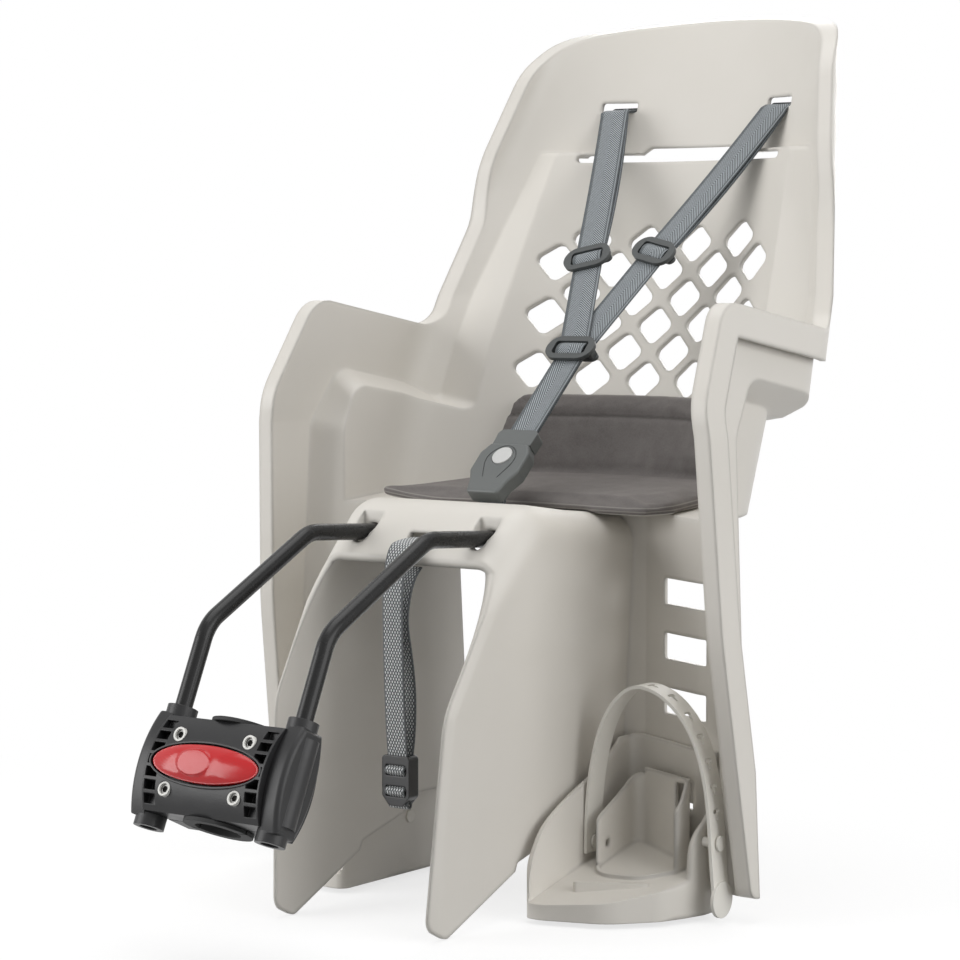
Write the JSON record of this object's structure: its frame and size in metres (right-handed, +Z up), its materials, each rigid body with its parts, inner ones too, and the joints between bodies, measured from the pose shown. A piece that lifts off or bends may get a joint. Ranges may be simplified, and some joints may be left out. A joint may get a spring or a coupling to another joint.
{
  "type": "child bike seat",
  "caption": "Moulded rear child bike seat with harness, pad, leg guards and sliding footrests, on a sprung carrier bar that plugs into a seat-tube clamp block.",
  "frame": {"origin": "centre of the seat-tube bore in the clamp block", "axes": "+X across the seat to the child's left, -Y to the rider's front, +Z up"},
  "size_m": [0.435, 0.6722, 0.667],
  "materials": {
    "shell": "moulded, fine satin texture",
    "foot_strap": "soft moulded plastic, satin",
    "pad": "felt-faced foam",
    "bar": "black powder coat, satin",
    "fastener": "zinc plated",
    "block": "black, satin",
    "bushing": "white ring, satin",
    "tube_pad": "black rubber",
    "release": "red, gloss",
    "webbing": "grey herringbone webbing",
    "safety_webbing": "grey basket-weave webbing with pale dots",
    "hardware": "dark plastic, satin",
    "buckle": "dark grey plastic, satin",
    "push_button": "pale grey plastic, satin"
  },
  "bodies": {
    "block": {"block_front": "block", "block_rear": "block", "block_cover_left": "block", "block_cover_right": "block", "block_bushings": "bushing", "block_bolts": "fastener", "block_nuts": "fastener", "tube_pad_front": "tube_pad", "tube_pad_rear": "tube_pad"},
    "release_button": {"release_button": "release"},
    "seat": {"seat_shell": "shell", "seat_pad": "pad", "carrier_bar": "bar", "carrier_plate": "bar", "carrier_bolts": "fastener", "shoulder_strap_left": "webbing", "shoulder_strap_right": "webbing", "harness_strap": "webbing", "crotch_strap": "webbing", "safety_strap": "safety_webbing", "strap_retainers": "hardware", "strap_slider_left": "hardware", "strap_slider_right": "hardware", "strap_slider_join": "hardware", "buckle_tongue": "buckle", "buckle_body": "buckle", "crotch_anchor": "hardware", "safety_buckle": "hardware"},
    "buckle_button": {"buckle_button": "push_button"},
    "footrest_left": {"footrest_left": "shell", "foot_strap_left": "foot_strap", "foot_studs_left": "foot_strap"},
    "footrest_right": {"footrest_right": "shell", "foot_strap_right": "foot_strap", "foot_studs_right": "foot_strap"}
  },
  "joints": [
    {"name": "carrier_lift", "type": "slide", "parent": "block", "child": "seat", "axis": [0, 0.4226, 0.9063], "range_m": [0, 0.075]},
    {"name": "release_press", "type": "slide", "parent": "block", "child": "release_button", "axis": [0, 0.9063, -0.4226], "range_m": [0, 0.004], "stiffness_N_per_m": 600, "springref_m": -0.003},
    {"name": "buckle_press", "type": "slide", "parent": "seat", "child": "buckle_button", "axis": [0, 0.6756, -0.7373], "range_m": [0, 0.0025], "stiffness_N_per_m": 500, "springref_m": -0.002},
    {"name": "footrest_left_height", "type": "slide", "parent": "seat", "child": "footrest_left", "axis": [0, 0, 1], "range_m": [0, 0.08]},
    {"name": "footrest_right_height", "type": "slide", "parent": "seat", "child": "footrest_right", "axis": [0, 0, 1], "range_m": [0, 0.08]}
  ]
}
